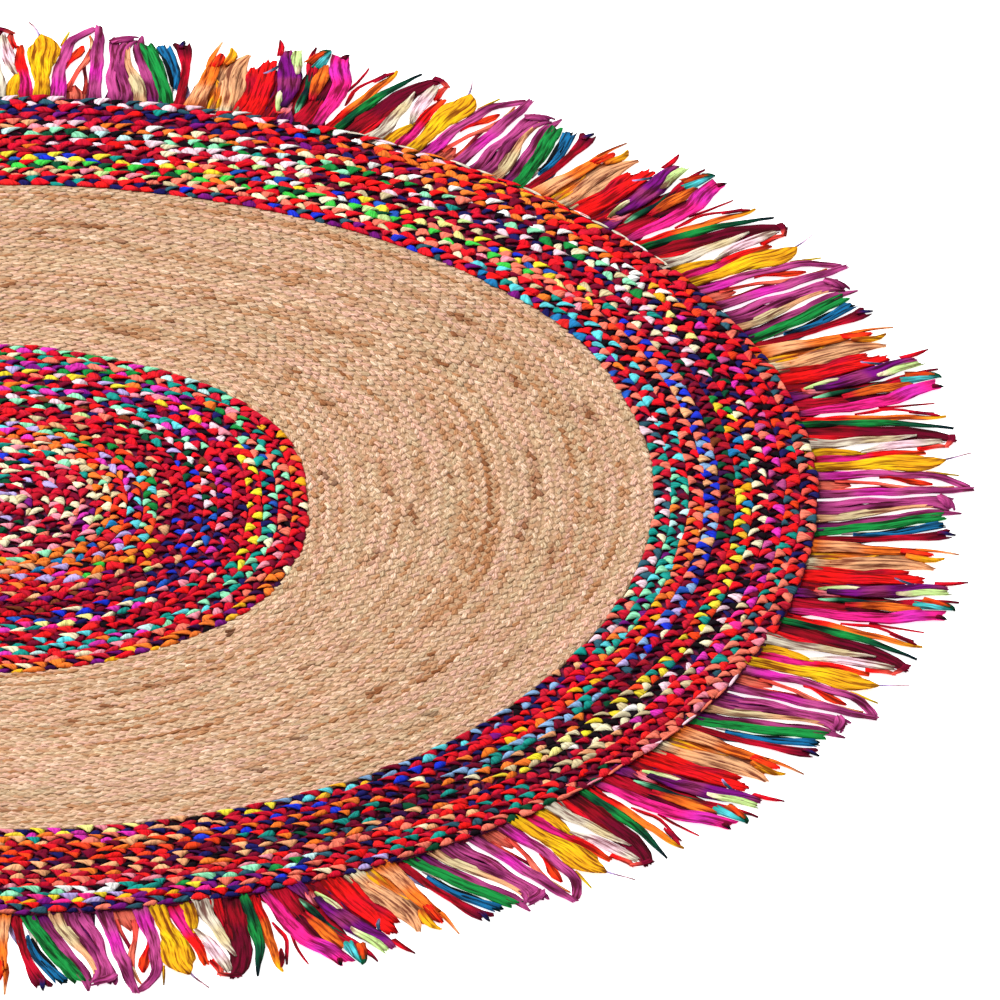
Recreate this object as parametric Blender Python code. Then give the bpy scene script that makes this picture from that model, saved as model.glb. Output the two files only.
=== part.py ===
# Round braided rug: a coiled medallion of rag braid, a jute field and a rag border coiled on around it,
# and a fringe of torn rag strips sewn to the outermost row.
# Metres, +Z up. The origin is the middle of the rug on the floor, and the rug lies flat on z = 0.

import math
from collections import namedtuple

import bmesh
import bpy

# Driving dimensions
MEDALLION_RADIUS = 0.2965
FIELD_RADIUS = 0.605
BORDER_RADIUS = 0.762
BACKING_WIDTH = 0.0055
BACKING_HEIGHT = 0.003
PIECE_GAP = 0.0003

# The coils were sewn by hand, so their circles aren't quite concentric.
MEDALLION_CENTRE = (-0.0055, -0.014)
FIELD_CENTRE = (0.0065, 0.003)
BORDER_CENTRE = (0.0, 0.0)

# Rays on which the coiled rows are drawn, and the narrowest sliver of a row that is kept
RAYS = 36
NARROWEST_ROW = 0.0028

# The fringe is one run of strips, repeated around the rug from this angle in degrees.
FRINGE_START = -5.4
MOTIF_REPEATS = 13
MID_SHARE = 0.55
STRIP_MID_HEIGHT = 0.0034
STRIP_TIP_HEIGHT = 0.0018

Zone = namedtuple(
    "Zone", "name inner inner_centre outer outer_centre rows groove crest step_start step_span core_rows")

ZONES = [
    Zone("medallion", 0.0, MEDALLION_CENTRE, MEDALLION_RADIUS, MEDALLION_CENTRE,
         rows=18, groove=0.0062, crest=0.0092, step_start=20.0, step_span=50.0, core_rows=9),
    Zone("jute_field", MEDALLION_RADIUS + PIECE_GAP, MEDALLION_CENTRE, FIELD_RADIUS, FIELD_CENTRE,
         rows=28, groove=0.0056, crest=0.0078, step_start=150.0, step_span=60.0, core_rows=0),
    Zone("border", FIELD_RADIUS + PIECE_GAP, FIELD_CENTRE, BORDER_RADIUS, BORDER_CENTRE,
         rows=10, groove=0.0062, crest=0.0092, step_start=150.0, step_span=60.0, core_rows=0),
]

# One run of the fringe, anticlockwise from above: angles in degrees from the start of the run, widths and
# reach in millimetres, the reach taken from the outer edge of the backing.
Strip = namedtuple("Strip", "root_angle root_width mid_angle mid_width tip_angle tip_width reach")

STRIPS = {
    "dark_red": Strip(0.40, 8.5, 0.70, 10.0, 1.60, 13.0, 116),
    "cerulean": Strip(0.88, 2.6, 1.50, 9.0, 2.40, 8.5, 109),
    "green": Strip(1.32, 7.5, 2.40, 11.5, 3.40, 17.0, 110),
    "mauve": Strip(2.00, 8.5, 3.50, 11.0, 4.30, 7.0, 126),
    "beige": Strip(3.00, 11.5, 4.25, 8.0, 5.00, 6.0, 111),
    "mauve_wide": Strip(4.20, 15.0, 5.30, 11.5, 5.80, 16.0, 117),
    "orchid_tall": Strip(6.30, 10.5, 6.50, 12.5, 6.90, 9.5, 137),
    "coral": Strip(7.70, 17.0, 7.50, 6.0, 7.55, 5.0, 121),
    "orchid": Strip(9.00, 12.5, 8.95, 11.5, 8.70, 7.5, 125),
    "yellow": Strip(10.00, 11.5, 10.40, 26.0, 10.40, 15.0, 115),
    "scarlet": Strip(11.20, 9.0, 11.70, 9.0, 11.80, 9.5, 101),
    "off_white": Strip(13.20, 13.0, 13.00, 20.0, 12.70, 12.0, 114),
    "maroon": Strip(15.00, 18.0, 14.60, 17.5, 13.70, 12.5, 130),
    "dark_green": Strip(16.20, 8.5, 15.70, 11.0, 14.40, 3.5, 133),
    "orange": Strip(17.00, 8.0, 16.50, 7.0, 15.90, 3.5, 130),
    "hot_pink": Strip(17.90, 9.0, 18.30, 16.0, 19.70, 13.5, 136),
    "rust": Strip(19.00, 15.0, 19.50, 13.0, 20.70, 9.5, 140),
    "purple": Strip(20.20, 11.0, 21.00, 17.0, 22.80, 10.0, 127),
    "crimson": Strip(21.40, 15.0, 22.20, 7.0, 24.10, 4.0, 142),
    "red": Strip(22.70, 15.0, 23.20, 15.0, 23.70, 13.5, 103),
    "tan": Strip(24.20, 15.0, 24.90, 19.0, 25.50, 12.0, 108),
    "gold": Strip(25.50, 11.0, 26.00, 8.0, 26.20, 3.5, 112),
    "light_orange": Strip(26.70, 13.0, 27.00, 12.0, 27.10, 5.0, 130),
}

# Colour, roughness: one look for each kind of material
Look = namedtuple("Look", "colour roughness")

LOOKS = {
    "medallion": Look((0.52, 0.10, 0.10, 1.0), 0.9),
    "jute_field": Look((0.53, 0.35, 0.17, 1.0), 0.95),
    "border": Look((0.40, 0.08, 0.16, 1.0), 0.9),
    "fringe": Look((0.55, 0.12, 0.30, 1.0), 0.85),
}


def clear_scene():
    for item in list(bpy.data.objects):
        bpy.data.objects.remove(item, do_unlink=True)


def coil_share(zone, row, angle):
    # Share of one row's width by which the coil has wound outwards, 0 to 1 over a whole turn. Outer rows lie
    # on circles and step out over a short stretch, and the rows near the core are an even spiral.
    turned = (angle - zone.step_start) % 360.0
    stepped = min(turned / zone.step_span, 1.0)
    evenness = max(0.0, 1.0 - row / zone.core_rows) if zone.core_rows else 0.0
    return evenness * turned / 360.0 + (1.0 - evenness) * stepped


def row_edges(zone, angle):
    # Radii where the rows meet along one ray, with the zone's own inner and outer edges.
    pitch = (zone.outer - zone.inner) / zone.rows
    edges = [zone.inner]
    for row in range(zone.rows):
        radius = zone.inner + pitch * (row + coil_share(zone, row, angle))
        if zone.inner + NARROWEST_ROW < radius < zone.outer - NARROWEST_ROW:
            edges.append(radius)
    edges.append(zone.outer)
    return edges


def zone_point(zone, radius, angle, height):
    share = (radius - zone.inner) / (zone.outer - zone.inner)
    centre_x = zone.inner_centre[0] + share * (zone.outer_centre[0] - zone.inner_centre[0])
    centre_y = zone.inner_centre[1] + share * (zone.outer_centre[1] - zone.inner_centre[1])
    turn = math.radians(angle)
    return (centre_x + radius * math.cos(turn), centre_y + radius * math.sin(turn), height)


def ray_points(zone, angle):
    # Radius and height along one ray of the top: a groove where rows meet and a crest on each row.
    pitch = (zone.outer - zone.inner) / zone.rows
    edges = row_edges(zone, angle)
    points = [(edges[0], zone.groove if zone.inner else zone.crest)]
    for start, end in zip(edges, edges[1:]):
        fullness = min(1.0, (end - start) / pitch)
        if start > 0.0:
            points.append(((start + end) / 2.0, zone.groove + fullness * (zone.crest - zone.groove)))
        points.append((end, zone.groove))
    return points


def zip_chains(mesh, left, right):
    # Fills the strip between two chains of (place, vertex) with triangles, always stepping on along the
    # chain that is behind.
    at_left = 0
    at_right = 0
    if left[0][1] is right[0][1]:
        mesh.faces.new((left[0][1], left[1][1], right[1][1]))
        at_left = 1
        at_right = 1
    while at_left < len(left) - 1 or at_right < len(right) - 1:
        right_done = at_right == len(right) - 1
        left_done = at_left == len(left) - 1
        if right_done or (not left_done and left[at_left + 1][0] <= right[at_right + 1][0]):
            mesh.faces.new((left[at_left][1], left[at_left + 1][1], right[at_right][1]))
            at_left += 1
        else:
            mesh.faces.new((left[at_left][1], right[at_right + 1][1], right[at_right][1]))
            at_right += 1


def add_object(name, mesh):
    bmesh.ops.triangulate(mesh, faces=[face for face in mesh.faces if len(face.verts) > 3])
    bmesh.ops.recalc_face_normals(mesh, faces=mesh.faces)
    data = bpy.data.meshes.new(name)
    mesh.to_mesh(data)
    mesh.free()
    piece = bpy.data.objects.new(name, data)
    bpy.context.collection.objects.link(piece)
    material = bpy.data.materials.new(name)
    material.use_nodes = True
    shader = material.node_tree.nodes["Principled BSDF"]
    shader.inputs["Base Color"].default_value = LOOKS[name].colour
    shader.inputs["Roughness"].default_value = LOOKS[name].roughness
    shader.inputs["Metallic"].default_value = 0.0
    data.materials.append(material)
    return piece


def make_zone(zone):
    # One coiled zone: a ridged top, a flat underside, and a low wall at each edge.
    mesh = bmesh.new()
    middle = mesh.verts.new(zone_point(zone, 0.0, 0.0, zone.crest)) if zone.inner == 0.0 else None
    rays = []
    inner_floor = []
    outer_floor = []
    for index in range(RAYS):
        angle = 360.0 * index / RAYS
        ray = []
        for radius, height in ray_points(zone, angle):
            if middle and radius == 0.0:
                ray.append((radius, middle))
            else:
                ray.append((radius, mesh.verts.new(zone_point(zone, radius, angle, height))))
        rays.append(ray)
        outer_floor.append(mesh.verts.new(zone_point(zone, zone.outer, angle, 0.0)))
        if middle is None:
            inner_floor.append(mesh.verts.new(zone_point(zone, zone.inner, angle, 0.0)))
    for index in range(RAYS):
        after = (index + 1) % RAYS
        zip_chains(mesh, rays[index], rays[after])
        outer_top = rays[index][-1][1]
        outer_top_after = rays[after][-1][1]
        mesh.faces.new((outer_top, outer_floor[index], outer_floor[after], outer_top_after))
        if middle is None:
            inner_top = rays[index][0][1]
            inner_top_after = rays[after][0][1]
            mesh.faces.new((inner_top_after, inner_floor[after], inner_floor[index], inner_top))
            mesh.faces.new((inner_floor[index], inner_floor[after], outer_floor[after], outer_floor[index]))
    if middle:
        mesh.faces.new(reversed(outer_floor))
    return add_object(zone.name, mesh)


def ring_point(radius, angle, height, sideways=0.0):
    # A point on the fringe's ring, moved sideways at right angles to the ray.
    turn = math.radians(angle)
    return (radius * math.cos(turn) - sideways * math.sin(turn),
            radius * math.sin(turn) + sideways * math.cos(turn),
            height)


def strip_section(mesh, radius, angle, width, height):
    # Three corners of a strip's section: two on the floor and one on top.
    half = width / 2.0
    clockwise = mesh.verts.new(ring_point(radius, angle, 0.0, -half))
    onward = mesh.verts.new(ring_point(radius, angle, 0.0, half))
    top = mesh.verts.new(ring_point(radius, angle, height))
    return clockwise, onward, top


def add_strip(mesh, strip, start_angle, root_radius):
    # One torn strip, level on the floor, from its root on the backing to its tip. Returns its root corners.
    reach = strip.reach / 1000.0
    sections = [
        strip_section(mesh, root_radius, start_angle + strip.root_angle, strip.root_width / 1000.0,
                      BACKING_HEIGHT),
        strip_section(mesh, root_radius + MID_SHARE * reach, start_angle + strip.mid_angle,
                      strip.mid_width / 1000.0, STRIP_MID_HEIGHT),
        strip_section(mesh, root_radius + reach, start_angle + strip.tip_angle,
                      strip.tip_width / 1000.0, STRIP_TIP_HEIGHT),
    ]
    for near, far in zip(sections, sections[1:]):
        for corner in range(3):
            other = (corner + 1) % 3
            mesh.faces.new((near[corner], far[corner], far[other], near[other]))
    mesh.faces.new(sections[-1])
    return sections[0]


def make_fringe():
    # The strips' roots are fused into one narrow sewn backing, which is parted from the border's edge.
    mesh = bmesh.new()
    inner_radius = BORDER_RADIUS + PIECE_GAP
    outer_radius = BORDER_RADIUS + BACKING_WIDTH
    inner_top = []
    inner_floor = []
    for index in range(RAYS):
        angle = 360.0 * index / RAYS
        inner_top.append((angle, mesh.verts.new(ring_point(inner_radius, angle, BACKING_HEIGHT))))
        inner_floor.append((angle, mesh.verts.new(ring_point(inner_radius, angle, 0.0))))
    outer_top = []
    outer_floor = []
    for repeat in range(MOTIF_REPEATS):
        start_angle = FRINGE_START + 360.0 * repeat / MOTIF_REPEATS
        for strip in STRIPS.values():
            clockwise, onward, top = add_strip(mesh, strip, start_angle, outer_radius)
            angle = start_angle + strip.root_angle
            half_angle = math.degrees(strip.root_width / 2000.0 / outer_radius)
            outer_top.append((angle, top))
            outer_floor.append((angle - half_angle, clockwise))
            outer_floor.append((angle + half_angle, onward))
    for index, (angle, top) in enumerate(outer_top):
        onward = outer_floor[2 * index + 1][1]
        next_clockwise = outer_floor[(2 * index + 2) % len(outer_floor)][1]
        next_top = outer_top[(index + 1) % len(outer_top)][1]
        mesh.faces.new((top, onward, next_clockwise, next_top))
    for outer, inner in ((outer_top, inner_top), (outer_floor, inner_floor)):
        zip_chains(mesh, outer + [(outer[0][0] + 360.0, outer[0][1])],
                   inner + [(inner[0][0] + 360.0, inner[0][1])])
    for index in range(RAYS):
        after = (index + 1) % RAYS
        mesh.faces.new((inner_top[index][1], inner_floor[index][1], inner_floor[after][1], inner_top[after][1]))
    return add_object("fringe", mesh)


clear_scene()
for each_zone in ZONES:
    make_zone(each_zone)
make_fringe()
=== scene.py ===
# Braided rug: coiled three-strand braids of cotton rag and of jute, with a fringe of torn rag strips.
# Metres, +Z up, the middle of the rug on the floor at the origin.

import math
import random

import bmesh
import bpy
import numpy as np
from mathutils import Matrix, Vector


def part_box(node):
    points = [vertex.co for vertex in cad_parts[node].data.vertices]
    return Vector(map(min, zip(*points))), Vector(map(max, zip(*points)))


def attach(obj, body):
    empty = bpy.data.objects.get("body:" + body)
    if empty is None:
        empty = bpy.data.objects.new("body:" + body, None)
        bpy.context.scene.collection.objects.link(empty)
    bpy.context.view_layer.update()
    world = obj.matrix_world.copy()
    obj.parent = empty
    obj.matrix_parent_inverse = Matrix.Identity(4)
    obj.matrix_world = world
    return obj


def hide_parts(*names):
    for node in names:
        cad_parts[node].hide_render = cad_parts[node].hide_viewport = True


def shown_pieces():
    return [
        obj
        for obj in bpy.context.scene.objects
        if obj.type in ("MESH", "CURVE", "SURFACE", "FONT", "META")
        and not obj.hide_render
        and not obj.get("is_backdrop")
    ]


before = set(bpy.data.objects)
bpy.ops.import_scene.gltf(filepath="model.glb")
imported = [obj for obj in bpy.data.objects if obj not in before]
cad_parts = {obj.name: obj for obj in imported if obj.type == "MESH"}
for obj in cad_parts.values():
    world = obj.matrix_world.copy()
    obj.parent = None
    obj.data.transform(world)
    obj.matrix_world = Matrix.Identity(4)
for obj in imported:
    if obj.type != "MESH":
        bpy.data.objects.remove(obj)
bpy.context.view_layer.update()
mm = 0.001
fullTurn = 6.283

# Rag and jute colours, as seen in daylight (red, green, blue from 0 to 255)
dyes = {
    "crimson": (204, 10, 44), "scarlet": (250, 20, 20), "red": (232, 12, 30), "darkRed": (166, 8, 32),
    "maroon": (118, 2, 40), "orangeRed": (246, 66, 20), "orange": (252, 122, 36), "gold": (248, 176, 24),
    "amber": (250, 196, 22), "yellow": (252, 222, 44), "paleYellow": (250, 238, 140),
    "cream": (246, 232, 190), "beige": (216, 196, 150), "peach": (252, 176, 122), "tan": (226, 166, 120),
    "brown": (122, 58, 28), "rust": (206, 84, 24), "salmon": (250, 122, 98), "coral": (242, 84, 70),
    "pink": (246, 142, 160), "palePink": (248, 208, 220), "hotPink": (244, 36, 140),
    "magenta": (224, 46, 178), "orchid": (196, 76, 144), "mauve": (148, 46, 106),
    "lavender": (186, 166, 226), "purple": (120, 14, 122), "darkPurple": (56, 12, 66), "navy": (28, 24, 92),
    "royal": (24, 48, 206), "blue": (30, 84, 184), "lightBlue": (132, 172, 216), "cerulean": (28, 128, 190),
    "cyan": (92, 212, 222), "paleCyan": (196, 238, 236), "teal": (18, 150, 138), "slate": (46, 90, 106),
    "mint": (144, 232, 182), "green": (24, 140, 62), "brightGreen": (64, 206, 70),
    "paleLime": (196, 228, 142), "darkGreen": (8, 76, 48), "black": (18, 7, 16), "white": (246, 244, 240),
    "offWhite": (226, 214, 192), "grey": (150, 140, 140), "tealBlack": (4, 34, 40),
}


def linear(dye, shade=1.0):
    # The shade is in linear light.
    return [shade * ((c / 255 + 0.055) / 1.055) ** 2.4 if c > 10 else shade * c / 255 / 12.92 for c in dye]


class Wire:
    # One output of a node, so that sums between outputs read as plain Python
    def __init__(self, finish, socket):
        self.finish = finish
        self.socket = socket

    def does(self, operation, other=None, swapped=False):
        values = (other, self) if swapped else (self, other)
        inputs = {place: value for place, value in enumerate(values) if value is not None}
        return self.finish.add("Math", {"operation": operation}, inputs)

    def __add__(self, other):
        return self.does("ADD", other)

    __radd__ = __add__

    def __sub__(self, other):
        return self.does("SUBTRACT", other)

    def __rsub__(self, other):
        return self.does("SUBTRACT", other, swapped=True)

    def __mul__(self, other):
        return self.does("MULTIPLY", other)

    __rmul__ = __mul__


class Finish:
    # A material while its nodes are laid out
    def __init__(self, name):
        self.material = bpy.data.materials.new(name)
        self.material.use_nodes = True
        self.tree = self.material.node_tree
        self.tree.nodes.clear()

    def add(self, kind, settings=None, inputs=None, output=0):
        node = self.tree.nodes.new("ShaderNode" + kind)
        for name, value in (settings or {}).items():
            if name == "stops":
                ramp = node.color_ramp.elements
                while len(ramp) < len(value):
                    ramp.new(0.5)
                for stop, (place, colour) in zip(ramp, value):
                    stop.position = place
                    stop.color = colour
            else:
                setattr(node, name, value)
        for name, value in (inputs or {}).items():
            entry = node.inputs[name]
            if isinstance(value, Wire):
                self.tree.links.new(entry, value.socket)
            else:
                entry.default_value = value
        return Wire(self, node.outputs[output]) if node.outputs else None

    def blend(self, share, first, second, mode="MIX"):
        settings = {"data_type": "RGBA", "blend_type": mode, "clamp_factor": True}
        return self.add("Mix", settings, {0: share, 6: first, 7: second}, 2)

    def dyed(self, colour, red, green, blue):
        return self.blend(1.0, colour, self.add("CombineXYZ", {}, {0: red, 1: green, 2: blue}), "MULTIPLY")

    def stretch(self, vector, scale):
        return self.add("VectorMath", {"operation": "MULTIPLY"}, {0: vector, 1: scale})

    def part(self, vector, axis):
        return self.add("SeparateXYZ", {}, {0: vector}, axis)

    def noise(self, vector, scale, detail=2.0, roughness=0.5):
        inputs = {"Vector": vector, "Scale": scale, "Detail": detail, "Roughness": roughness}
        return self.add("TexNoise", {}, inputs)

    def grain(self, place, scale, detail=2.0, roughness=0.5):
        return self.noise(self.stretch(place, scale), 1.0, detail, roughness)

    def ease(self, value, low, high, start=0.0, end=1.0):
        inputs = {"Value": value, "From Min": low, "From Max": high, "To Min": start, "To Max": end}
        return self.add("MapRange", {"interpolation_type": "SMOOTHSTEP"}, inputs)

    def weave(self, place, spacing):
        # Threads crossing at right angles
        thread = self.stretch(place, (fullTurn / spacing, fullTurn / spacing, 0.0))
        return self.part(thread, 0).does("SINE") * self.part(thread, 1).does("SINE")

    def strand(self):
        # The strand's dye, and the place along and across it
        dye = self.add("Attribute", {"attribute_name": "strandColour"})
        return dye, self.add("Attribute", {"attribute_name": "strandPlace"}, None, 1)

    def inRug(self):
        return self.add("TexCoord", {}, None, 3)

    def cloth(self, colour, roughness, bumpHeight, strength, depth):
        normal = self.add("Bump", {}, {"Strength": strength, "Distance": depth, "Height": bumpHeight})
        inputs = {"Base Color": colour, "Roughness": roughness, "Normal": normal, "Specular IOR Level": 0.06}
        surface = self.add("BsdfPrincipled", {}, inputs)
        self.add("OutputMaterial", {}, {"Surface": surface})
        return self.material


def white(level):
    return (level, level, level, 1.0)


# A shade gives the two values that it runs between, and how light the colour is at each of them.
ragLook = {"weave": 0.9 * mm, "weaveBump": 0.12, "creases": (70.0, 520.0, 1.0),
           "paintedCreaseShade": (0.3, 0.6, 0.5, 1.0), "blotches": 260.0, "blotchShade": (0.3, 0.7, 0.85, 1.06),
           "paintedGapShade": (4.2 * mm, 6.6 * mm, 0.36, 1.0)}


def ragFinish():
    finish = Finish("cotton_rag")
    dye, place = finish.strand()
    where = finish.inRug()
    crease = finish.grain(place, ragLook["creases"])
    blotch = finish.noise(where, ragLook["blotches"])
    # Painted shade: the colour darkens in the hollows of the crease pattern that also drives the bump; the
    # blotches are random tone.
    tone = finish.ease(crease, *ragLook["paintedCreaseShade"]) * finish.ease(blotch, *ragLook["blotchShade"])
    # Painted shade: the lower a surface lies, down in the gaps between the pods, the darker its colour.
    tone = tone * finish.ease(finish.part(where, 2), *ragLook["paintedGapShade"])
    bumpHeight = crease + finish.weave(place, ragLook["weave"]) * ragLook["weaveBump"]
    return finish.cloth(finish.dyed(dye, tone, tone, tone), 0.82 + crease * 0.15, bumpHeight, 0.55, 1.2 * mm)


juteLook = {"fibres": (110.0, 640.0, 1.0), "fibreShade": (0.36, 0.64, 0.66, 1.24), "blotches": 420.0,
            "blotchShade": (0.3, 0.7, 0.94, 1.08), "paintedGapShade": (5.2 * mm, 6.4 * mm, 0.68, 1.0),
            "ply": 2.4 * mm, "plyWander": 2.0, "paintedPlyShade": (-1.0, -0.1, 0.64, 1.0), "warm": 0.2}


def juteFinish():
    finish = Finish("natural_jute")
    dye, place = finish.strand()
    where = finish.inRug()
    fibre = finish.grain(place, juteLook["fibres"], 3.0, 0.65)
    blotch = finish.noise(where, juteLook["blotches"])
    turns = finish.part(place, 1) * (fullTurn / juteLook["ply"]) + fibre * juteLook["plyWander"]
    tone = finish.ease(fibre, *juteLook["fibreShade"]) * finish.ease(blotch, *juteLook["blotchShade"])
    # Painted shade: lower surfaces, in the gaps between the yarns and at the row joins, are darker.
    tone = tone * finish.ease(finish.part(where, 2), *juteLook["paintedGapShade"])
    # Painted shade: dark lines in the grooves between the plies of each yarn.
    tone = tone * finish.ease(turns.does("SINE"), *juteLook["paintedPlyShade"])
    # Darker tones, painted shade among them, turn browner: red falls off less and blue more.
    warm = juteLook["warm"]
    colour = finish.dyed(dye, tone * (1 - warm) + warm, tone, tone * (1 + warm) - warm)
    return finish.cloth(colour, 0.86 + fibre * 0.12, fibre, 0.6, 0.8 * mm)


fringeLook = {"weave": 0.8 * mm, "weaveBump": 0.06, "creases": (22.0, 210.0, 1.0),
              "paintedCreaseShade": (0.36, 0.58, 0.12, 1.0), "folds": (34.0, 330.0, 1.0),
              "paintedFoldShade": (0.32, 0.5, 0.6, 1.0), "fine": (90.0, 700.0, 1.0),
              "fineShade": (0.25, 0.7, 0.88, 1.1), "warm": 0.12}


def fringeFinish():
    finish = Finish("torn_rag")
    dye, place = finish.strand()
    crease = finish.grain(place, fringeLook["creases"], 3.0, 0.6)
    fine = finish.grain(place, fringeLook["fine"])
    fold = finish.grain(place, fringeLook["folds"])
    # Painted shade: the colour darkens in the creases and the folds; the fine mottle is random tone.
    tone = finish.ease(crease, *fringeLook["paintedCreaseShade"]) * finish.ease(fold, *fringeLook["paintedFoldShade"])
    tone = tone * finish.ease(fine, *fringeLook["fineShade"])
    # The red falls off less, so the painted shade in the creases is reddish.
    colour = finish.dyed(dye, tone * (1 - fringeLook["warm"]) + fringeLook["warm"], tone, tone)
    threads = finish.weave(place, fringeLook["weave"]) * fringeLook["weaveBump"]
    bumpHeight = crease * 1.3 + fine * 0.3 + threads
    return finish.cloth(colour, 0.8 + crease * 0.16, bumpHeight, 0.6, 2.2 * mm)


# The sheet under the crossings: on top, two dark tones between the strands, the lower strands in painted
# shade; and the back of the braid underneath
backLook = {
    "rag": {"row": 15.3 * mm, "strand": 13 * mm, "slant": 0.7, "shade": 0.9,
            "rags": "crimson red maroon salmon red navy crimson teal orange maroon cream darkRed black "
                    "magenta",
            "between": ((0.16, 0.01, 0.03, 1), (0.05, 0.01, 0.045, 1))},
    "jute": {"row": 11.02 * mm, "strand": 9 * mm, "slant": 0.8, "shade": 0.72,
             "rags": "peach tan beige tan peach beige tan",
             "between": ((0.46, 0.29, 0.17, 1), (0.33, 0.19, 0.1, 1))},
}


def groundFinish(name, look):
    # On the back, the strands of each row slant to one side and then to the other.
    finish = Finish(name)
    where = finish.inRug()
    patch = finish.noise(where, 180.0, 3.0)
    fine = finish.noise(where, 900.0)
    x, y, z = (finish.part(where, axis) for axis in range(3))
    row = (x * x + y * y).does("SQRT") * (1 / look["row"])
    rowNumber = row.does("FLOOR")
    inRow = row - rowNumber
    bend = (inRow - 0.5).does("ABSOLUTE")
    turned = y.does("ARCTAN2", x) * (rowNumber + 0.5) * (look["row"] / look["strand"])
    spot = turned + bend * (2 * look["slant"]) + rowNumber * 0.37
    strand = spot.does("FLOOR")
    inStrand = (spot - strand - 0.5).does("ABSOLUTE")
    cell = finish.add("CombineXYZ", {}, {0: rowNumber, 1: strand, 2: inRow.does("GREATER_THAN", 0.5)})
    pick = finish.add("TexWhiteNoise", {"noise_dimensions": "3D"}, {"Vector": cell})
    rags = look["rags"].split()
    stops = [(place / len(rags), linear(dyes[rag], look["shade"]) + [1]) for place, rag in enumerate(rags)]
    relief = finish.ease(bend, 0.5, 0.36, 0.25, 1.0) * finish.ease(inStrand, 0.5, 0.3, 0.35, 1.0)
    # Painted shade: the back's colour darkens at the row joins and the strand edges, following the same
    # relief as the bump.
    tone = relief * finish.ease(fine, 0.3, 0.7, 0.8, 1.1)
    back = finish.dyed(finish.add("ValToRGB", {"stops": stops}, {0: pick}), tone, tone, tone)
    # On top, the sheet shows the lower strands darkened as painted shade in the gaps between the pods.
    between = finish.blend(finish.ease(patch, 0.35, 0.65), *look["between"])
    colour = finish.blend(finish.ease(z, 1.6 * mm, 2.4 * mm), back, between)
    return finish.cloth(colour, 0.85 + fine * 0.1, patch * 0.4 + relief + fine * 0.2, 0.6, 1.5 * mm)


ragMaterial = ragFinish()
juteMaterial = juteFinish()
fringeMaterial = fringeFinish()
ragGroundMaterial = groundFinish("rag_inner", backLook["rag"])
juteGroundMaterial = groundFinish("jute_inner", backLook["jute"])
print("finishes made")


def newPiece(name, mesh, material):
    mesh.shade_smooth()
    mesh.materials.append(material)
    piece = bpy.data.objects.new(name, mesh)
    bpy.context.scene.collection.objects.link(piece)
    return piece


def pieceFrom(bm, name, material):
    mesh = bpy.data.meshes.new(name)
    bm.to_mesh(mesh)
    bm.free()
    return newPiece(name, mesh, material)


def strandLayers(bm):
    return bm.verts.layers.float_color.new("strandColour"), bm.verts.layers.float_vector.new("strandPlace")


def zoneOf(node):
    low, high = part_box(node)
    return ((low + high) / 2).to_2d(), (high.x - low.x) / 2


medallionCentre, medallionRadius = zoneOf("medallion")
fieldCentre, fieldRadius = zoneOf("jute_field")
borderCentre, borderRadius = zoneOf("border")


def readChart(text):
    return np.array([[float(part) for part in entry.split()] for entry in text.split(", ")])


# How far the sewn zones stray from true circles, once round: angle in degrees and shift in mm
strays = {
    "medallion": readChart("-90 14, -70 11.5, -50 10.7, -35 9.9, -25 4.9, -18 2.5, -10 -1.6, 0 -4.9, 8 -4.1, "
                           "15 0.8, 25 4.1, 35 3.3, 50 2.5, 60 -0.8, 65 -1.6, 75 0, 85 3.3, 180 8, 270 14"),
    "field": readChart("-90 7.8, -75 9.4, -60 11.3, -50 9.4, -40 4.7, -33 0, -25 -1.9, -10 -1.3, 0 0, 10 0, "
                       "20 0.8, 27 5.2, 33 3.9, 40 -1.6, 50 -7, 60 -11.8, 70 -15.7, 80 -16.9, 90 -16.5, "
                       "180 -4, 270 7.8"),
    "even": readChart("-90 0, 270 0"),
}

# A coil with spare room has as many more rows where its zone is wider than its rows.
coils = {
    "medallion": {"inner": 0.0, "innerCentre": medallionCentre, "innerStray": "even",
                  "outer": medallionRadius, "outerCentre": medallionCentre, "outerStray": "medallion",
                  "rows": 21, "spare": 0, "coreRows": 10},
    "field": {"inner": medallionRadius, "innerCentre": medallionCentre, "innerStray": "medallion",
              "outer": fieldRadius, "outerCentre": fieldCentre, "outerStray": "field",
              "rows": 28, "spare": 0, "coreRows": 0},
    "border": {"inner": fieldRadius, "innerCentre": fieldCentre, "innerStray": "field",
               "outer": borderRadius, "outerCentre": borderCentre, "outerStray": "even",
               "rows": 10, "spare": 1, "coreRows": 0},
}
coilStep = {"start": 150, "span": 60}      # degrees over which each row steps out beside the one before
noiseStep = (0.37, 0.011)                  # metres by which each strand moves on in its finish's noise


def strayAt(name, angle):
    knots, shifts = strays[name].T
    turned = (np.asarray(angle, float) + 90) % 360 - 90
    return sum(np.interp((turned + lag + 90) % 360 - 90, knots, shifts) for lag in (-4, -2, 0, 2, 4)) / 5 * mm


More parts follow.
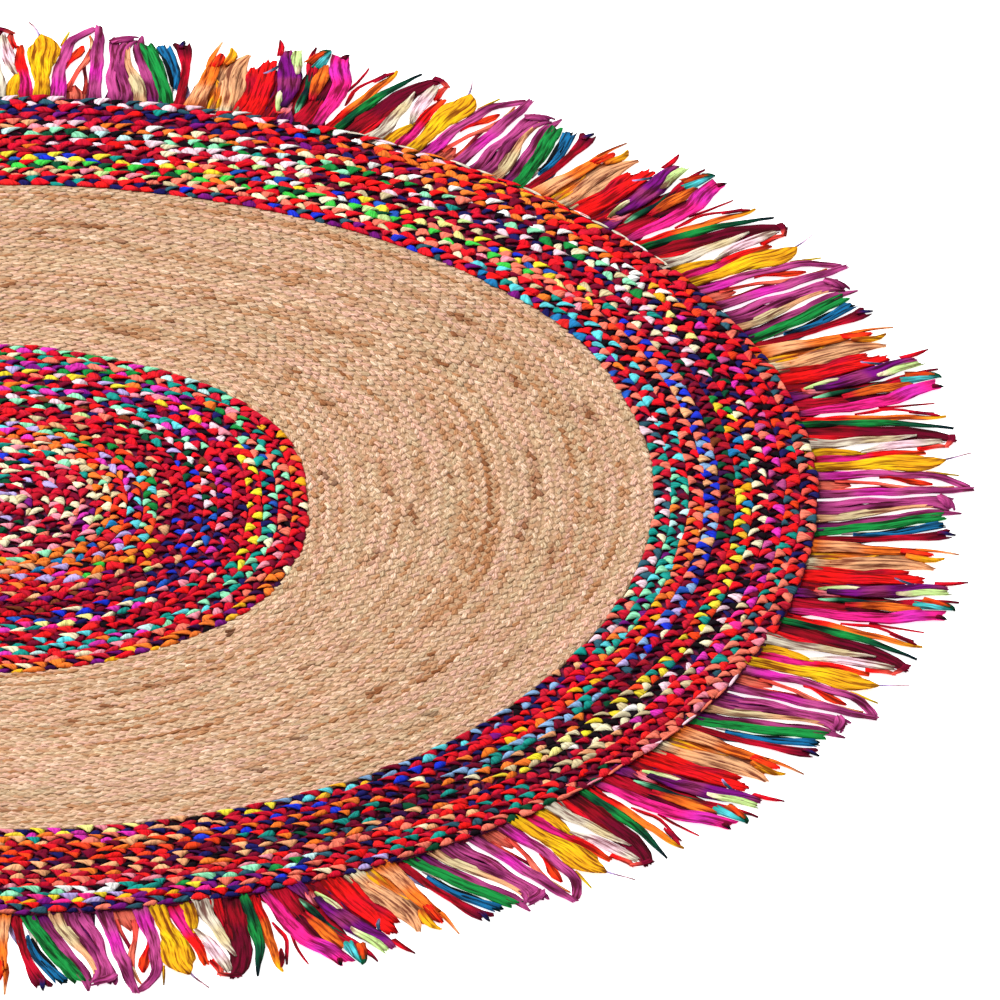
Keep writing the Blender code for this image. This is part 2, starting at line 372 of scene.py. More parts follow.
def coilPath(coil):
    # The line down the middle of the coiled braid, with its outward direction and the room that it has
    pitch = (coil["outer"] - coil["inner"]) / coil["rows"]
    turning = np.arange(0, 360.0 * (coil["rows"] + 1), 0.4)
    row = np.floor(turning / 360)
    turned = turning - 360 * row
    angle = coilStep["start"] + turning
    innerEdge = coil["inner"] + strayAt(coil["innerStray"], angle)
    outerEdge = coil["outer"] + strayAt(coil["outerStray"], angle)
    pitchHere = (outerEdge - innerEdge) / coil["rows"]
    if coil["spare"]:
        pitchHere = np.minimum(pitchHere, pitch)

    def edge(rowNumber):
        stepped = np.minimum(turned / coilStep["span"], 1)
        evenness = np.clip(1 - rowNumber / coil["coreRows"], 0, 1) if coil["coreRows"] else 0 * rowNumber
        share = evenness * turned / 360 + (1 - evenness) * stepped
        return np.clip(innerEdge + pitchHere * (rowNumber + share), innerEdge, outerEdge)

    inside, outside = edge(row - 1), edge(row)
    radius = (inside + outside) / 2
    share = (radius - coil["inner"]) / (coil["outer"] - coil["inner"])
    middle = [a + share * (b - a) for a, b in zip(coil["innerCentre"], coil["outerCentre"])]
    x = middle[0] + radius * np.cos(np.radians(angle))
    y = middle[1] + radius * np.sin(np.radians(angle))
    length = np.concatenate([[0], np.cumsum(np.hypot(np.diff(x), np.diff(y)))])
    heading = np.unwrap(np.arctan2(np.gradient(y), np.gradient(x)))
    return {"length": length, "x": x, "y": y, "heading": heading, "width": outside - inside,
            "band": (radius - innerEdge) / pitchHere - 0.5, "angle": angle, "turn": row, "pitch": pitch}


def smoothStep(share):
    share = np.clip(share, 0, 1)
    return share * share * (3 - 2 * share)


def along(path, name, places):
    return np.interp(places, path["length"], path[name])


def podTemplates(shape, seed):
    # One visible strand crossing: a closed pod whose ends dive under its neighbours
    rolls = random.Random(seed)
    variants = []
    for _ in range(shape["variants"]):
        bm = bmesh.new()
        bmesh.ops.create_uvsphere(bm, u_segments=shape["sides"], v_segments=shape["rings"], radius=1)
        bmesh.ops.rotate(bm, verts=bm.verts, matrix=Matrix.Rotation(math.radians(90), 3, "Y"))
        roll = math.radians(shape["roll"] + rolls.uniform(-shape["rollSpread"], shape["rollSpread"]))
        bmesh.ops.rotate(bm, verts=bm.verts, matrix=Matrix.Rotation(roll, 3, "X"))
        for vert in bm.verts:
            girth = math.hypot(vert.co.y, vert.co.z)
            if girth > 1e-4:
                uneven = 1 + rolls.uniform(-1, 1) * shape["lumps"]
                vert.co.y *= np.interp(vert.co.x, *shape["wide"]) * uneven / girth
                vert.co.z *= np.interp(vert.co.x, *shape["thick"]) * uneven / girth
        bmesh.ops.recalc_face_normals(bm, faces=bm.faces)
        bm.verts.index_update()
        variants.append([list(vert.co) for vert in bm.verts])
        faces = [[vert.index for vert in face.verts] for face in bm.faces]
        bm.free()
    return np.array(variants), faces


def onPath(path, spot, lateral, height):
    heading = along(path, "heading", spot)
    return np.stack([along(path, "x", spot) + lateral * np.sin(heading),
                     along(path, "y", spot) - lateral * np.cos(heading), height], -1)


def layRags(path, braid, places, number, shapeSet, draws):
    # Flat rags show as wedges from each edge by turns, broad at the edge and narrow past the row's middle.
    count = len(places)
    pods = shapeSet[draws.integers(0, len(shapeSet), count)]
    reach, across, up = pods[:, :, 0], pods[:, :, 1], pods[:, :, 2]
    side = np.where(number % 2 == 0, 1.0, -1.0)[:, None]
    size = along(path, "width", places)[:, None] / path["pitch"]
    loose = draws.standard_normal((7, count, 1)).clip(-2, 2)
    girth = braid["girth"][:, None] * (1 + braid["uneven"] * loose[0])
    edge = (braid["edge"] + braid["edgeWander"] * loose[6]) * path["pitch"]
    tip = (braid["tip"] + braid["tipWander"] * loose[4]) * path["pitch"]
    lateral = side * size * ((edge + tip) / 2 - (edge - tip) / 2 * reach) + braid["wander"] * loose[1]
    slant = braid["slant"] * (1 + braid["slantWander"] * loose[2])
    forward = across * braid["period"] / 6 * braid["base"] * girth + slant * reach
    height = np.interp(reach, *braid["lie"]) + up * braid["halfThick"] * (0.6 + 0.4 * size) * girth
    height = height - braid["overlap"] * across * (1 + braid["overlapWander"] * loose[5])
    height = height + braid["heightWander"] * loose[3] + braid["proud"] * (girth - 1)
    points = onPath(path, places[:, None] + forward, lateral, np.maximum(height, braid["lowest"]))
    strandPlace = np.stack([reach * (edge - tip) / 2 + number[:, None] * noiseStep[0],
                            across * braid["period"] / 6 + number[:, None] * noiseStep[1],
                            number[:, None] + 0 * reach], -1)
    return points, strandPlace


def layYarns(path, braid, places, number, shapeSet, draws):
    # Rounder jute yarns run slantwise from the row's edge over the middle and dive under the next one.
    count = len(places)
    pods = shapeSet[draws.integers(0, len(shapeSet), count)]
    side = np.where(number % 2 == 0, 1.0, -1.0)[:, None]
    size = along(path, "width", places)[:, None] / path["pitch"]
    loose = draws.standard_normal((5, count, 1))
    phase = braid["podMiddle"] + braid["podHalf"] * pods[:, :, 0] * (1 + braid["phaseWander"] * loose[0])
    swing = braid["swing"] * path["pitch"] * size
    slope = -swing * 2 * math.pi / braid["period"] * np.sin(2 * math.pi * phase)
    lean = np.sqrt(1 + slope ** 2)
    girth = (1 + braid["uneven"] * loose[1]).clip(*braid["girthRange"])
    acrossYarn = pods[:, :, 1] * braid["halfWidth"] * path["pitch"] * size * girth
    lateral = side * (swing * np.cos(2 * math.pi * phase) + acrossYarn / lean) + braid["wander"] * loose[2]
    forward = (phase - 1 / 6) * braid["period"] - slope * acrossYarn / lean + braid["wander"] * loose[3]
    rise = smoothStep((phase - braid["rise"][0]) / (braid["rise"][1] - braid["rise"][0]))
    dive = smoothStep((phase - braid["dive"][0]) / (braid["dive"][1] - braid["dive"][0]))
    height = braid["crest"] - braid["riseDrop"] * (1 - rise) - braid["diveDrop"] * dive
    height = height + pods[:, :, 2] * braid["halfThick"] * girth + braid["heightWander"] * loose[4]
    points = onPath(path, places[:, None] + forward, lateral, np.maximum(height, braid["lowest"]))
    besideMiddle = pods[:, :, 1] * braid["halfWidth"] * path["pitch"]
    strandPlace = np.stack([phase * braid["period"] + number[:, None] * noiseStep[0],
                            besideMiddle + number[:, None] * noiseStep[1], number[:, None] + 0 * phase], -1)
    return points, strandPlace


def meshOfPods(name, points, faces, colours, strandPlace, material):
    # Joins the pods into one mesh
    pods, corners = points.shape[:2]
    mesh = bpy.data.meshes.new(name)
    mesh.vertices.add(pods * corners)
    mesh.vertices.foreach_set("co", points.astype(np.float32).ravel())
    order = np.concatenate([np.array(face) for face in faces])
    starts = np.concatenate([[0], np.cumsum([len(face) for face in faces])[:-1]])
    podNumber = np.arange(pods)[:, None]
    mesh.loops.add(pods * len(order))
    mesh.loops.foreach_set("vertex_index", (podNumber * corners + order).ravel().astype(np.int32))
    mesh.polygons.add(pods * len(faces))
    mesh.polygons.foreach_set("loop_start", (podNumber * len(order) + starts).ravel().astype(np.int32))
    mesh.update(calc_edges=True)
    rgba = np.ones((pods, corners, 4), np.float32)
    rgba[:, :, :3] = colours[:, None, :]
    mesh.attributes.new("strandColour", "FLOAT_COLOR", "POINT").data.foreach_set("color", rgba.ravel())
    spot = mesh.attributes.new("strandPlace", "FLOAT_VECTOR", "POINT")
    spot.data.foreach_set("vector", strandPlace.astype(np.float32).ravel())
    return newPiece(name, mesh, material)


def turnAt(path, places):
    return np.floor(along(path, "turn", places) + 1e-6).astype(int)


def cutIntoPieces(cuts, path, places, narrowest, pods, material):
    # cuts gives the piece names and the first turn of each
    points, faces, colours, strandPlace = pods
    wide = along(path, "width", places) > narrowest * path["pitch"]
    turn = turnAt(path, places)
    made = []
    for (name, firstTurn), (_, lastTurn) in zip(cuts, cuts[1:] + [("end", 1000)]):
        keep = wide & (turn >= firstTurn) & (turn < lastTurn)
        made.append(meshOfPods(name, points[keep], faces, colours[keep], strandPlace[keep], material))
        print(name, int(keep.sum()), "strand crossings")
    return made


# Each row of the braid from the inside out. A run starts at an angle and names its three strands' rags, and
# a slash shows two rags that follow one another in a strand.
borderRuns = [
    "-90 navy magenta/pink yellow/paleYellow, -80 crimson black/navy peach/yellow, "
    "-66 gold/navy cyan/lightBlue crimson/maroon, -50 navy cyan/lightBlue black/crimson, "
    "-40 navy/black lightBlue/peach crimson, -28 crimson slate/teal palePink/salmon, "
    "15 cyan/blue crimson salmon, 25 purple/navy cyan/cerulean scarlet, 45 royal/purple red slate/crimson, "
    "75 navy red teal/scarlet",
    "-90 magenta/crimson salmon/peach orange, -78 peach navy red, -70 crimson/maroon navy/royal crimson, "
    "-50 navy/red red crimson, -45 red/scarlet crimson navy/purple, -28 teal mint cyan/purple, "
    "-8 teal mint/paleCyan maroon/teal, 4 cyan black/maroon red, 38 beige/cyan maroon red, "
    "46 red cream/beige salmon, 62 salmon beige/cream scarlet, 78 salmon/pink beige/paleLime red",
    "-90 orangeRed maroon orange/red, -80 peach/orange orangeRed black, -73 navy/royal orange crimson, "
    "-60 scarlet/orange maroon navy, -45 scarlet gold/orange red, -31 red gold/orange crimson, "
    "-13 salmon red orange, -2 salmon red black, 20 salmon black orangeRed, "
    "34 salmon/pink salmon red/brightGreen, 48 brightGreen salmon/red black, "
    "56 brightGreen cream/paleLime black/darkGreen, 66 brightGreen darkGreen peach/red",
    "-90 orangeRed black/navy maroon/scarlet, -70 scarlet/orange teal/maroon black, "
    "-51 teal/lightBlue lightBlue maroon/teal, -33 teal/slate maroon crimson, "
    "-28 royal/blue lightBlue/lavender maroon/crimson, -13 royal salmon/peach lightBlue/navy, "
    "22 salmon red royal, 32 yellow/paleYellow salmon red, 40 royal/blue salmon yellow, "
    "46 yellow/paleYellow red/salmon maroon, 55 yellow/white blue/royal red, "
    "64 blue/yellow white/salmon red, 80 yellow red/royal blue/maroon",
    "-90 black/darkPurple peach maroon/red, -72 peach/orange navy/slate maroon, "
    "-66 maroon black/darkPurple teal/darkGreen, -51 orange/peach maroon black, "
    "-36 maroon darkRed black/darkGreen, -25 crimson maroon red/black, "
    "-8 maroon/darkPurple darkRed darkGreen/brown, 10 maroon darkRed maroon/darkGreen, "
    "25 maroon cream/beige crimson, 38 maroon/black darkRed red, 46 paleLime/beige crimson/maroon black, "
    "64 cream/paleLime maroon red, 78 maroon black/darkRed crimson",
    "-90 maroon/black crimson orange/peach, -72 navy/slate peach/orange maroon, "
    "-60 maroon peach/orange darkPurple, -50 yellow/paleYellow orange/peach teal/beige, "
    "-42 yellow black cream/beige, -30 yellow red/orangeRed teal/crimson, "
    "-8 yellow/gold scarlet slate/cerulean, 0 cerulean/teal scarlet slate/yellow, "
    "8 gold/yellow scarlet navy, 13 navy red green/maroon, 17 palePink navy crimson, "
    "33 scarlet crimson navy, 37 palePink navy crimson/red, 58 scarlet red scarlet, "
    "62 palePink navy scarlet, 66 palePink palePink/cream crimson, 79 crimson palePink/red scarlet/crimson",
    "-90 salmon/pink crimson scarlet, -65 scarlet salmon maroon, -55 maroon/crimson scarlet peach/navy, "
    "-46 white/cream black maroon/crimson, -36 black/navy cream/palePink black, -13 cream red black, "
    "12 green/darkGreen scarlet navy, 18 cream/paleYellow black red, 30 cream/beige navy scarlet, "
    "33 black/navy green/mint cream/maroon, 50 mint/green black maroon/scarlet, "
    "64 mint/paleCyan black green/red, 80 mint/paleCyan darkGreen/black black",
    "-90 mint/white teal/white black/maroon, -79 teal/slate green/mint crimson/navy, "
    "-69 paleCyan/white darkRed navy/slate, -64 crimson/scarlet maroon teal/peach, "
    "-48 crimson maroon/beige peach/beige, -36 magenta/hotPink scarlet beige/maroon, "
    "-15 magenta/orchid red black, 29 orange/gold white crimson, 35 white orange maroon/red, "
    "56 white/cream orange crimson, 80 orange/salmon cream/palePink red/crimson, 85 salmon/pink peach red",
    "-90 purple/lavender gold/yellow red/hotPink, -74 royal/purple red salmon, "
    "-65 crimson teal/slate scarlet, -45 maroon scarlet crimson, -28 scarlet/crimson slate/teal salmon, "
    "-8 scarlet/orangeRed teal/slate crimson, 0 scarlet/orangeRed black/navy crimson, "
    "30 scarlet crimson/maroon red, 45 scarlet orange/maroon navy, 58 crimson/scarlet maroon navy/purple, "
    "75 crimson maroon purple/navy",
    "-90 navy/purple scarlet/salmon slate/navy, -70 navy crimson/red salmon/lavender, "
    "-60 black/darkGreen red/crimson salmon, -45 maroon red crimson/darkGreen, "
    "-38 salmon/pink salmon maroon/crimson, -18 salmon/coral crimson/scarlet navy/slate, "
    "30 coral/orangeRed black/maroon crimson, 42 orange/gold black/maroon red/orange, "
    "60 orange red/orangeRed black, 68 royal/navy scarlet orange/red, 74 navy crimson/scarlet maroon/navy",
    "-90 crimson maroon scarlet, 30 orange black red, 56 orange/red palePink/white black, "
    "68 palePink/white black/slate crimson/red, 76 palePink slate/black crimson/slate",
]

medallionRuns = [
    "-90 pink crimson lavender/purple, 0 peach black/crimson pink",
    "-90 black cream/palePink crimson, -20 crimson cream pink/beige, 50 lavender/purple crimson cream",
    "-90 crimson pink/lavender maroon, -20 crimson/purple beige pink, 50 lavender crimson maroon",
    "-90 black/darkGreen pink crimson, -20 crimson cream/beige darkRed, 35 cream crimson darkGreen/black",
    "-90 darkGreen/black crimson cream/pink, -40 crimson pink maroon/cream, "
    "20 cream/lavender crimson crimson/maroon",
    "-90 cream darkGreen/black pink, -60 pink/salmon cream crimson, -30 cream/beige crimson pink/darkGreen, "
    "10 crimson cream/pink maroon, 50 cream crimson/red darkGreen",
    "-90 crimson pink/maroon red, -60 pink/salmon crimson maroon, -30 crimson/magenta crimson/purple pink, "
    "0 crimson salmon/pink cream/crimson, 70 blue/royal crimson pink",
    "-90 orange/gold salmon/pink mint, -70 mint/teal orange/salmon pink/orange, "
    "-20 cream/paleLime crimson/red orange, 10 mint/teal cream/beige red/orange, 45 cream teal/mint red/pink",
    "-90 orange orangeRed tan/peach, -70 cerulean/blue orange salmon/red, "
    "-30 cerulean orangeRed/red orange/cream, -10 red/crimson orangeRed cream/beige, "
    "20 cream/beige orangeRed/orange red, 60 orangeRed/scarlet cream/beige orange",
    "-90 lavender orangeRed magenta/red, -60 lavender orangeRed/scarlet orange, "
    "-30 lavender/cyan magenta/purple orangeRed, 10 lavender orange/orangeRed scarlet/magenta, "
    "50 orangeRed/scarlet orange lavender/magenta",
    "-90 orangeRed/orange lavender/red crimson, -60 brightGreen/green red orange, "
    "-45 mint/cyan crimson/red orange, -15 mint/cyan orangeRed crimson/green, "
    "20 green/teal orangeRed/orange crimson, 55 cyan/mint orangeRed/orange lavender/green",
    "-90 tan/peach red crimson/purple, -45 orange/gold red maroon/navy, -20 tan/beige crimson maroon, "
    "10 tan/beige crimson darkRed, 60 beige/tan red crimson",
    "-90 maroon/purple maroon/brown crimson, -45 paleLime/maroon maroon crimson, "
    "-30 crimson royal/navy maroon, 0 crimson maroon/darkRed red",
    "-90 crimson/red maroon/brown darkRed, -50 tan/peach maroon red, -42 maroon/navy crimson tan/royal, "
    "-20 lavender/royal maroon crimson/navy, 5 royal/lavender red maroon/darkGreen, "
    "38 paleLime/mint red/crimson darkGreen/navy",
    "-90 royal/blue crimson/red navy/maroon, -5 palePink/white red darkGreen/brown, "
    "60 palePink/pink scarlet brown/maroon",
    "-90 cream/paleYellow magenta/hotPink navy/teal, -50 magenta/pink darkRed/navy crimson, "
    "-36 magenta/pink navy crimson, 0 magenta/crimson crimson/red navy/purple, "
    "28 cyan/mint magenta/crimson navy/teal, 75 cyan/paleCyan magenta navy/green",
    "-90 scarlet/red crimson maroon/black, -30 red maroon crimson/navy, 0 crimson/maroon crimson red, "
    "30 crimson/red navy/black maroon/purple",
    "-90 cyan/teal red maroon, -60 red crimson teal/maroon, -28 yellow red/scarlet crimson, "
    "30 yellow/palePink magenta/pink red, 60 palePink/lavender yellow crimson",
    "-90 cyan/paleCyan teal red/magenta, -60 cyan/mint teal red, -45 teal mint red/navy, "
    "0 teal/mint navy/blue red/salmon, 30 darkGreen/green navy crimson, "
    "45 green/teal navy/purple red/magenta",
    "-90 salmon/pink red crimson, -30 red salmon/pink crimson/maroon, 0 teal/mint red salmon/crimson, "
    "35 salmon/pink teal/green red, 60 salmon teal/green magenta/red",
    "-90 gold/orange purple/darkPurple red/orange, -25 crimson maroon/brown red, -8 gold/orange crimson red, "
    "10 orange/gold red crimson, 33 mint/paleCyan crimson red/teal, 60 mint red/crimson magenta/green",
]


ragTones = {"shade": (0.84, 1.12), "hiddenRate": (0.8, 1.1), "strandShift": 1.3, "stretch": 9, "faded": 0.04,
            "oddShare": 0.035, "oddRags": ["crimson", "salmon", "black", "cream", "teal", "orange"]}


def ragColours(runsOfRows, path, places, number, draws):
    # Looks up each pod's rag by its row, its angle and its strand. The photograph shows the right half, and
    # the left half goes on in the same manner.
    band = np.clip(np.round(along(path, "band", places)), 0, len(runsOfRows) - 1).astype(int)
    angle = (along(path, "angle", places) + 180) % 360 - 180
    rows = []
    for text in runsOfRows:
        runs = [run.split() for run in text.split(", ")]
        rows.append([(float(run[0]), [rag.split("/") for rag in run[1:]]) for run in runs])
    hiddenRate = draws.uniform(*ragTones["hiddenRate"], len(rows))
    strandShift = draws.normal(0, ragTones["strandShift"], (len(rows), 3))
    colours = np.zeros((len(places), 3))
    for pod in range(len(places)):
        row = band[pod]
        seen = angle[pod]
        if abs(seen) > 90:
            seen = math.copysign(90 - (abs(seen) - 90) * hiddenRate[row], seen)
        strand = number[pod] % 3
        chosen = rows[row][0][1]
        for start, rags in rows[row]:
            if seen >= start + strandShift[row][strand]:
                chosen = rags
        choices = chosen[strand]
        stretch = int(number[pod] / ragTones["stretch"] + strand * 0.31 + row * 0.17)
        rag = choices[(stretch * 7 + row) % len(choices)]
        dye = np.array(linear(dyes[rag], draws.uniform(*ragTones["shade"])))
        if draws.random() < ragTones["oddShare"]:
            dye = np.array(linear(dyes[draws.choice(ragTones["oddRags"])]))
        dye = dye + ragTones["faded"] * draws.random() * (dye.mean() - dye)
        colours[pod] = dye
    return colours.clip(0, 0.95)


ragShape = {"sides": 6, "rings": 5, "roll": 0, "rollSpread": 14, "variants": 16, "lumps": 0.1,
            "wide": ((-1, -0.81, -0.31, 0.31, 0.81, 1), (0, 1.0, 0.82, 0.5, 0.2, 0)),
            "thick": ((-1, -0.81, -0.31, 0.31, 0.81, 1), (0, 0.8, 1.0, 0.9, 0.45, 0))}
ragBraid = {"period": 44 * mm, "edge": 0.55, "edgeWander": 0.05, "tip": -0.18, "tipWander": 0.13,
            "base": 1.08, "slant": 2.2 * mm, "slantWander": 0.9, "halfThick": 1.25 * mm,
            "lie": ((-1, -0.5, 0.3, 1), (5.9 * mm, 7.1 * mm, 6.8 * mm, 5.0 * mm)), "overlap": 0.6 * mm,
            "overlapWander": 0.6, "proud": 2.4 * mm, "uneven": 0.13, "wander": 0.6 * mm,
            "heightWander": 0.3 * mm, "lowest": 0.4 * mm, "narrowest": 0.25, "darkGirth": 0.74,
            "lightGirth": 1.13, "girthWave": 0.06, "lightWeights": (0.3, 0.6, 0.1), "fullyLight": 0.16}


def braidPlaces(path, braid):
    return np.arange(braid["period"] / 12, path["length"][-1], braid["period"] / 6)


def makeRagBraid(coilName, runsOfRows, cuts, seed):
    draws = np.random.default_rng(seed)
    path = coilPath(coils[coilName])
    places = braidPlaces(path, ragBraid)
    number = np.arange(len(places))
    shapeSet, faces = podTemplates(ragShape, seed)
    colours = ragColours(runsOfRows, path, places, number, draws)
    # Some rags are thicker than others, and the dark ones are the thinnest.
    brightness = np.sqrt((colours @ np.array(ragBraid["lightWeights"]) / ragBraid["fullyLight"]).clip(0, 1))
    girth = ragBraid["darkGirth"] + (ragBraid["lightGirth"] - ragBraid["darkGirth"]) * brightness
    girth = girth + ragBraid["girthWave"] * np.sin(number / 61.0 + (number % 3) * 2.1)
    points, strandPlace = layRags(path, dict(ragBraid, girth=girth), places, number, shapeSet, draws)
    pods = (points, faces, colours, strandPlace)
    return cutIntoPieces(cuts, path, places, ragBraid["narrowest"], pods, ragMaterial)


medallionPieces = makeRagBraid("medallion", medallionRuns, [("medallion_braid", 0)], 11)
borderCuts = [("border_braid_inner", 0), ("border_braid_middle", 4), ("border_braid_outer", 7)]
borderPieces = makeRagBraid("border", borderRuns, borderCuts, 23)


juteShape = {"sides": 5, "rings": 3, "roll": -18, "rollSpread": 14, "variants": 10, "lumps": 0.08,
             "wide": ((-1, -0.5, 0.5, 1), (0, 1, 0.92, 0)), "thick": ((-1, -0.5, 0.5, 1), (0, 1, 0.92, 0))}
juteBraid = {"period": 34 * mm, "podMiddle": 0.115, "podHalf": 0.28, "phaseWander": 0.08, "swing": 0.29,
             "halfWidth": 0.31, "girthRange": (0.75, 1.3), "halfThick": 1.0 * mm, "crest": 6.2 * mm,
             "rise": (-0.13, 0.0), "riseDrop": 0.7 * mm, "dive": (0.16, 0.34), "diveDrop": 2.0 * mm,
             "uneven": 0.12, "wander": 0.5 * mm, "heightWander": 0.2 * mm, "lowest": 0.4 * mm,
             "narrowest": 0.25}
juteTones = {"base": (204, 168, 140), "pink": (209, 166, 146), "green": (194, 167, 135),
             "pale": (222, 196, 170), "tan": (172, 122, 84), "rust": (130, 78, 46), "dark": (88, 46, 20),
             "paleShare": 0.1, "paleMix": 0.55, "browns": (("tan", 0.2, 2.1), ("rust", 1.9, 4.2)),
             "spread": 0.055, "rowSpread": 0.035, "stretch": 0.1, "sideStretch": 0.22, "strandWeight": 0.6,
             "rowWeight": 0.3, "looseWeight": 0.5, "mostBrown": 0.95}

# Browner stretches of yarn: the row, and the angles in degrees where the stretch starts and ends
juteBrowns = {
    "tan": "26 25 80, 25 0 8, 23 0 16, 22 16 42, 22 35 55, 20 17 27, 20 47 60, 18 38 45, 15 15 18, 14 40 46, "
           "18 55 62, 21 73 90, 18 63 70, 26 75 88, 24 -90 -60, 23 -60 -49, 24 -49 -38, 23 -38 -28, "
           "23 -20 0, 20 -15 -7, 21 -13 -8, 19 -51 -49, 17 -49 -42, 18 -41 -37, 17 -38 -32, 17 -25 -13, "
           "14 -30 -20, 21 -66 -60, 9 -83 -78, 6 -80 -76, 5 -72 -35, 11 -30 -18, 13 -20 0, 12 -12 0, "
           "5 -20 -14, 5 -7 0, 0 -85 -80, 12 12 30, 6 5 20, 5 28 46, 7 22 24, 10 68 90, 8 75 88, 4 63 90, "
           "4 49 54, 13 53 60, 13 40 50, 9 2 16, 22 82 88, 17 66 76, 8 -66 -60, 14 66 74, 11 85 90",
    "rust": "24 14 19, 18 1 12, 18 30 33, 16 31 37, 14 51 54, 21 80 86, 19 78 80, 19 86 88, 24 -90 -87, "
            "23 -36 -29, 20 -13 -9, 17 -47 -44, 17 -39 -34, 17 -8 -3, 9 -82 -79, 7 -75 -73, 5 -72 -70, "
            "5 -67 -60, 8 -55 -51, 10 -47 -45, 10 -40 -38, 6 -17 -13, 8 -7 0, 13 2 4, 11 5 10, 6 3 5, "
            "5 31 36, 6 39 45, 9 37 39, 13 45 47, 12 60 65, 10 85 90, 11 62 65, 9 69 70, 8 77 80, 7 64 67, "
            "4 69 74, 22 37 42, 23 17 20, 20 24 27, 20 36 38",
    "dark": "25 -69.4 -68.2, 23 -45.6 -44.4, 19 -58.4 -56.4, 1 -47.5 -45, 14 9.3 10.7, 2 7 8.4, 1 10 12, "
            "8 -54.5 -53, 22 -64.6 -63.2, 3 -84.4 -83, 0 50 52",
}


def wandering(path, places, stretch, room, draws):
    # A value that drifts along the braid, with a new level every stretch
    knots = np.arange(0, path["length"][-1] + room, stretch)
    return lambda: np.interp(places, knots, draws.standard_normal(len(knots)))


def mixed(colours, share, name):
    share = np.asarray(share, float)[:, None]
    return colours * (1 - share) + share * np.array(linear(juteTones[name]))[None, :]


def makeJute(cuts, seed):
    draws = np.random.default_rng(seed)
    path = coilPath(coils["field"])
    places = braidPlaces(path, juteBraid)
    count = len(places)
    number = np.arange(count)
    shapeSet, faces = podTemplates(juteShape, seed)
    points, strandPlace = layYarns(path, juteBraid, places, number, shapeSet, draws)
    # Yarn from one bale after another: the tone drifts from row to row, and strands and sides have browner
    # stretches.
    rowTone = draws.normal(0, 1, 40)[turnAt(path, places)]
    drift = wandering(path, places, juteTones["stretch"], 0.2, draws)
    strands = [drift() for _ in range(3)]
    common = drift()
    drift = wandering(path, places, juteTones["sideStretch"], 0.5, draws)
    sides = [drift() for _ in range(2)]
    brown = np.choose(number % 2, sides) + juteTones["strandWeight"] * np.choose(number % 3, strands)
    brown = brown + juteTones["rowWeight"] * rowTone
    brown = brown + juteTones["looseWeight"] * draws.standard_normal(count)
    tone = 1 + juteTones["rowSpread"] * rowTone + draws.normal(0, juteTones["spread"], count)
    hue = (0.5 * common + 0.5 * draws.standard_normal(count)).clip(-1, 1)[:, None]
    base, pink, green = (np.array(linear(juteTones[name]))[None, :] for name in ("base", "pink", "green"))
    colours = (base + hue.clip(0, 1) * (pink - base) - hue.clip(-1, 0) * (green - base)) * tone[:, None]
    for name, start, full in juteTones["browns"]:
        colours = mixed(colours, smoothStep((brown - start) / (full - start)), name)
    band = along(path, "band", places)
    angle = (along(path, "angle", places) + 180) % 360 - 180
    angle = np.where(np.abs(angle) > 90, np.sign(angle) * 180 - angle, angle)
    for name, stretches in juteBrowns.items():
        share = 0 * band
        for row, first, last in readChart(stretches):
            inside = (np.abs(band - row) < 0.5) & (angle > first) & (angle < last)
            share[inside] = draws.uniform(0.0, juteTones["mostBrown"], inside.sum())
        colours = mixed(colours, share, name)
    colours = mixed(colours, juteTones["paleMix"] * (draws.random(count) < juteTones["paleShare"]), "pale")
    pods = (points, faces, colours.clip(0, 0.95), strandPlace)
    return cutIntoPieces(cuts, path, places, juteBraid["narrowest"], pods, juteMaterial)


jutePieces = makeJute([("jute_braid_inner", 0), ("jute_braid_outer", 17)], 37)


ground = {"bottom": 1.2 * mm, "top": 4.4 * mm, "juteTop": 5.8 * mm, "ripple": 0.2 * mm, "steps": 120}


def makeGround(name, coil, top, material):
    # The strands' inner parts: a thin closed sheet on which the crossings lie, rippled row by row
    rows = coil["rows"]
    start, end = coil["inner"], coil["outer"]
    bm = bmesh.new()
    ripples = [start + (end - start) * place / (2 * rows) for place in range(2 * rows + 1)]
    tops = [bm.verts.new((radius, 0, top + ground["ripple"] * (-1) ** place))
            for place, radius in enumerate(ripples)]
    bottoms = [bm.verts.new((radius, 0, ground["bottom"])) for radius in (end, start)]
    outline = tops + bottoms
    edges = [bm.edges.new(pair) for pair in zip(outline, outline[1:])]
    if coil["inner"]:
        edges.append(bm.edges.new((outline[-1], outline[0])))
    bmesh.ops.spin(bm, geom=outline + edges, axis=(0, 0, 1), cent=(0, 0, 0), angle=2 * math.pi,
                   steps=ground["steps"], use_merge=True)
    bmesh.ops.remove_doubles(bm, verts=bm.verts, dist=1e-6)
    for vert in bm.verts:
        radius = math.hypot(vert.co.x, vert.co.y)
        angle = math.degrees(math.atan2(vert.co.y, vert.co.x))
        share = (radius - start) / (end - start)
        shift = (1 - share) * strayAt(coil["innerStray"], angle) + share * strayAt(coil["outerStray"], angle)
        out = Vector((vert.co.x, vert.co.y, 0)) * (float(shift) / max(radius, 1e-6))
        vert.co += coil["innerCentre"].lerp(coil["outerCentre"], share).to_3d() + out
    bmesh.ops.recalc_face_normals(bm, faces=bm.faces)
    return pieceFrom(bm, name, material)


medallionGround = makeGround("medallion_ground", coils["medallion"], ground["top"], ragGroundMaterial)
fieldGround = makeGround("jute_ground", coils["field"], ground["juteTop"], juteGroundMaterial)
borderGround = makeGround("border_ground", coils["border"], ground["top"], ragGroundMaterial)
print("grounds made")


